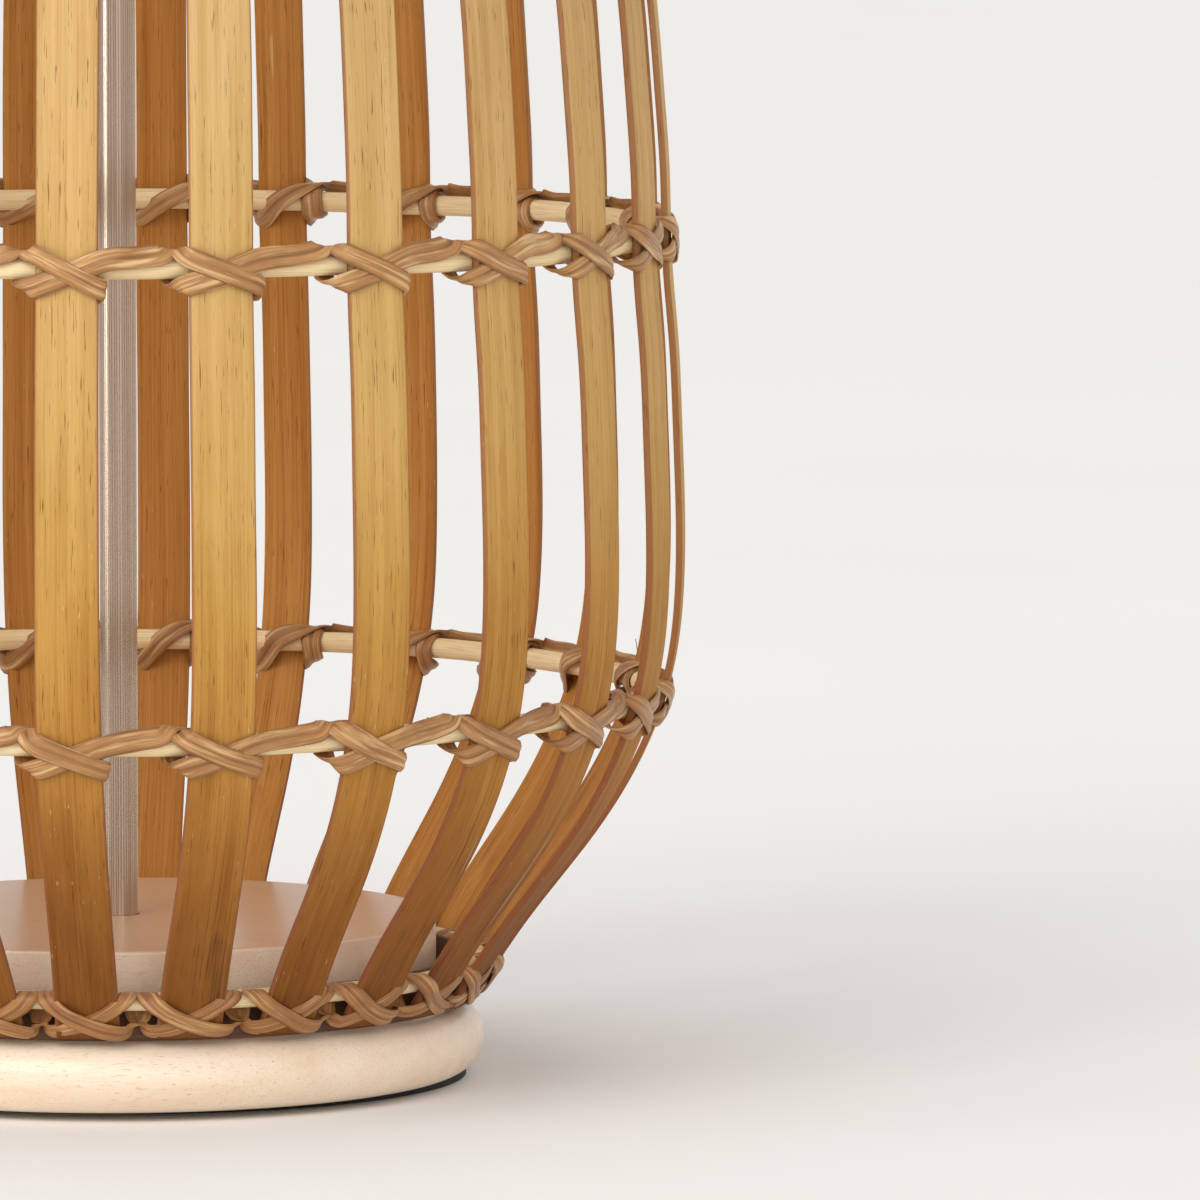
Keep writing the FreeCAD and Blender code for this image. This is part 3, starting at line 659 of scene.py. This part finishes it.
def add_strap(weave, line, facing, seed, wide=STRAP_WIDE, thick=STRAP_THICK, closed=True):
    """Sweeps a strap along a line of points; facing is the way its ridged side looks at each of them."""
    before = np.roll(line, 1, axis=0)
    after = np.roll(line, -1, axis=0)
    if not closed:
        before[0] = line[0]
        after[-1] = line[-1]
    ahead = unit(after - before)
    out = unit(facing - (facing * ahead).sum(1, keepdims=True) * ahead)
    aside = np.cross(ahead, out)
    across, up, ridge = strap_section().T * np.array([[wide], [thick], [1.0]])
    along = lengths(line, closed)
    run = along[:len(line)]
    vary = 1 + 0.09 * np.sin(run / (19 * MM) + seed * 9) + 0.05 * np.sin(run / (7.3 * MM) + seed * 5)
    x = across * vary[:, None]
    points = line[:, None, :] + aside[:, None, :] * x[:, :, None] + out[:, None, :] * up[None, :, None]
    weave.strip(points, perimeter(across, up), along, closed=closed, seed=seed, ridge=ridge[None, :])


def knot_points(wire, half):
    """The strap's way round one slat and its hoop, from right to left: an X outside the slat, with turns
    round the hoop at its left. Each row is a point and the side the strap shows, as (across, out, up)."""
    face = wire + STRAP_OUT
    return [
        ((half + 1.0, face + 0.35, 2.5), (0.35, 0.93, 0.12)),
        ((0.6, face + 0.5, -1.2), (0, 1, 0)),
        ((-half - 0.2, face + 0.4, -4.6), (-0.3, 0.95, -0.1)),
        ((-half - 2.8, wire - 0.7, -wire - 2.3), (-0.3, 0.4, -0.9)),
        ((-half - 3.5, -1.6, -wire - 1.0), (0, -0.4, -0.92)),
        ((-half - 3.5, -wire - 0.75, -0.2), (0, -1, 0)),
        ((-half - 3.1, -1.5, wire + 0.55), (0, -0.4, 0.92)),
        ((-half - 2.2, wire - 0.6, wire + 1.5), (-0.2, 0.5, 0.84)),
        ((-half + 0.3, face + 0.75, 3.1), (-0.25, 0.95, 0.2)),
        ((0.0, face + 1.45, -0.9), (0, 1, 0)),
        ((half + 0.2, face + 0.45, -4.6), (0.5, 0.86, 0.0)),
        ((half + 0.9, wire + 0.6, -5.6), (0.98, 0, -0.2)),
        ((half - 1.4, wire - 1.1, -5.8), (0.25, -0.9, -0.35)),
        ((0.0, -wire - 0.8, -0.8), (0, -1, 0)),
        ((-half + 0.8, -wire - 0.3, 2.7), (-0.1, -0.8, 0.6)),
        ((-half - 4.4, 0.4, wire + 1.8), (0, 0.1, 1)),
        ((-half - 6.8, 2.7, wire + 1.0), (0, 0.85, 0.52)),
    ]


def lay_strap(weave, rows, seed, wide=STRAP_WIDE):
    """A closed strap through rows of a point and the way it faces, with its corners softened."""
    line = soften(through(rows, 9), 4)
    add_strap(weave, line[:, :3], unit(line[:, 3:]), seed, wide)


def gap_after(names, i, radius):
    """The clear way along the hoop from one slat to the next in names, in millimetres."""
    here, there = names[i], names[(i + 1) % len(names)]
    turn = abs((slat_angle[there] - slat_angle[here] + math.pi) % FULL_TURN - math.pi)
    return (turn * radius - slat_half[here] - slat_half[there]) / MM


def add_hair(weave, ring, angle, start, lift, seed):
    """A thin fibre that has come loose from a strap; start and lift are (across, out, up) in millimetres."""
    draw = random.Random(seed)
    rows = []
    for share in np.linspace(0, 1, 6):
        bow = math.sin(math.pi * share)
        place = [a + share * b + bow * draw.uniform(-0.6, 0.6) for a, b in zip(start, lift)]
        rows.append(ring.row(angle, place, (0, 1, 0)))
    line = through(rows, 5, closed=False)
    add_strap(weave, line[:, :3], line[:, 3:], 0.4, HAIR_WIDE, HAIR_THICK, closed=False)


def add_hairs(weave, ring, number):
    """A few loose fibres at random knots of one ring."""
    draw = random.Random(HAIR_SEED + number)
    for k in range(HAIRS):
        angle = slat_angle[draw.choice(SLATS)]
        start = (draw.uniform(4, 9), ring.wire / MM + 2.4, draw.uniform(-3, 3))
        lift = (draw.uniform(1, 7), draw.uniform(-1.5, 0.2), draw.uniform(-8, 9))
        add_hair(weave, ring, angle, start, lift, 10 * number + k)


def make_lashing(ring, number):
    """One strap, round every slat from right to left and back to where it began, with a few loose fibres.
    The rim has no loose fibres, so that none stands above the cage."""
    draw = random.Random(KNOT_SEED + number)
    wire = ring.wire / MM
    names = SLATS[::-1]
    rows = []
    for i, name in enumerate(names):
        angle = slat_angle[name]
        half = slat_half[name] / MM
        gap = gap_after(names, i, ring.radius)
        squeeze = min(1.0, gap / FULL_GAP)
        tilt = draw.uniform(-0.7, 0.7)
        for (x, y, z), side in knot_points(wire, half):
            past = abs(x) - half
            if past > 0:
                x = math.copysign(half + past * squeeze, x)
            y += min(abs(x), half) ** 2 / (2 * ring.radius / MM) if y > wire else 0.0
            x += draw.uniform(-KNOT_JITTER, KNOT_JITTER) * squeeze
            z += draw.uniform(-KNOT_JITTER, KNOT_JITTER) + tilt * (x / half if abs(x) <= half else 0)
            rows.append(ring.row(angle, (x, y, z), side))
        if gap > WIDE_GAP:
            place = (-half - 0.5 * gap - 1.5, wire + 0.45, wire + 0.1)
            rows.append(ring.row(angle, place, (0, 0.9, 0.42)))
    weave = Weave()
    lay_strap(weave, rows, 0.2 + 0.15 * number)
    if ring.name != "rim":
        add_hairs(weave, ring, number)
    weave.build(ring.name + "_strap", "rattan_strap", ring.name + "_lashing")


def foot_points(wire, half, gap, lay):
    """One foot strap's way over a slat, from its upper left to the next slat, in rows as knot_points has them:
    down across the slat, along its end, then under the hoop and up behind it."""
    face = wire + STRAP_OUT
    return [
        ((-half - 2.2, wire - 0.5, wire + 1.3), (0, 0.5, 0.86)),
        ((-half + 0.7, face + 0.45 + lay, 2.3), (-0.25, 0.95, 0.15)),
        ((-0.25 * half, face + 0.5 + lay, -2.4), (0, 1, 0)),
        ((0.5 * half, face + 0.5 + lay, -5.3), (0, 1, -0.05)),
        ((half + 0.6, face + 0.1 + lay, -6.4), (0, 1, -0.15)),
        ((half + gap * 0.34, wire + 0.6 + lay, -6.4), (0, 0.95, -0.3)),
        ((half + gap * 0.58, 0.9, -wire - 2.2), (0, 0.1, -1)),
        ((half + gap * 0.70, -wire - 0.7, -0.5), (0, -1, 0)),
    ]


def make_foot_lashing(ring, number):
    """Two straps round the foot, one each way, that cross over every slat and again under every gap."""
    weave = Weave()
    wire = ring.wire / MM
    for hand, names, lay in ((1, SLATS, 0.9), (-1, SLATS[::-1], 0.0)):
        draw = random.Random(FOOT_SEED + number + hand)
        rows = []
        for i, name in enumerate(names):
            angle = slat_angle[name]
            half = slat_half[name] / MM
            gap = gap_after(names, i, ring.radius)
            for (x, y, z), (right, out, up) in foot_points(wire, half, gap, lay):
                x = hand * x + draw.uniform(-KNOT_JITTER, KNOT_JITTER)
                z += draw.uniform(-FOOT_JITTER, FOOT_JITTER)
                rows.append(ring.row(angle, (x, y, z), (hand * right, out, up)))
        lay_strap(weave, rows, 0.5 + 0.2 * hand, FOOT_STRAP_WIDE)
    weave.build(ring.name + "_strap", "rattan_strap", ring.name + "_lashing")


# ---------------------------------------------------------------- CAD pieces that stay

def dress_cad():
    """Gives every CAD node its material; those that a woven piece replaces are hidden later."""
    slots = {row["node"]: row["material_slot"] for row in frame["record"]["subparts"]}
    for name, node in frame["nodes"].items():
        node.data.materials.clear()
        node.data.materials.append(MATERIALS[slots[name]])


# ---------------------------------------------------------------- stage

def link(piece):
    bpy.context.scene.collection.objects.link(piece)


def make_floor():
    """A wide plain floor, nearly white."""
    floor = bpy.data.meshes.new("floor")
    reach = 40.0
    corners = [(-reach, -reach, 0), (reach, -reach, 0), (reach, reach, 0), (-reach, reach, 0)]
    floor.from_pydata(corners, [], [(0, 1, 2, 3)])
    n = Nodes("floor")
    grain = n.noise(n.place(), (0.4, 0.4, 0.4), 3, 0.5)
    colour = n.mix(n.curve(grain, 0.3, 0.7), srgb(241, 239, 237), srgb(243, 242, 240))
    n.set(Base_Color=colour, Roughness=0.9, Specular_IOR_Level=0.2)
    floor.materials.append(n.material)
    piece = bpy.data.objects.new("floor", floor)
    link(piece)


def aim(thing, target):
    """Turns a lamp or camera so that it looks at the target."""
    way = Vector(target) - thing.location
    thing.rotation_euler = way.to_track_quat("-Z", "Y").to_euler()


def make_studio():
    """A bright even room with soft suns from the front and a strip at the left that edges the tube."""
    world = bpy.data.worlds.new("studio")
    world.use_nodes = True
    back = world.node_tree.nodes["Background"].inputs
    back["Color"].default_value = (1.0, 0.99, 0.98, 1)
    back["Strength"].default_value = 0.74
    bpy.context.scene.world = world
    make_sun("key", (-1.6, -2.4, 2.2), 1.15, 35)
    make_sun("fill", (0.5, -3.0, 0.9), 0.45, 40)
    make_strip("edge", (-2.5, -0.55, 0.5), 0.9, 2.0, 24)


def light_piece(lamp, place):
    """Hangs a lamp at a place, aimed at the middle of the cage."""
    piece = bpy.data.objects.new(lamp.name, lamp)
    piece.location = place
    link(piece)
    aim(piece, (0, 0, 0.25))


def make_sun(name, place, power, spread):
    lamp = bpy.data.lights.new(name, "SUN")
    lamp.angle = math.radians(spread)
    lamp.energy = power
    lamp.color = (1, 0.985, 0.96)
    light_piece(lamp, place)


def make_strip(name, place, wide, tall, power):
    lamp = bpy.data.lights.new(name, "AREA")
    lamp.shape = "RECTANGLE"
    lamp.size = wide
    lamp.size_y = tall
    lamp.energy = power
    light_piece(lamp, place)


def make_camera():
    """A long lens far off, a little below the top of the cage, that looks down at its lower right quarter."""
    eye = Vector((0, -3.437, 0.451))
    right = 0.03744
    down = 0.0940
    camera = bpy.data.cameras.new("camera")
    camera.sensor_width = 36
    camera.lens = 387.5
    camera.clip_end = 200
    piece = bpy.data.objects.new("camera", camera)
    piece.location = eye
    link(piece)
    aim(piece, eye + Vector((right, 1, -down)))
    bpy.context.scene.camera = piece


def set_view():
    """Colours as they are, with no look laid over them."""
    settings = bpy.context.scene.view_settings
    settings.view_transform = "Standard"
    settings.look = "None"
    settings.exposure = 0.0


make_camera()
make_floor()
make_studio()
set_view()
dress_cad()
for number, name in enumerate(SLATS):
    make_slat(name, number)
for number, ring in enumerate(RINGS):
    make_hoop(ring, number)
    if ring.name == "base":
        make_foot_lashing(ring, number)
    else:
        make_lashing(ring, number)
make_band()
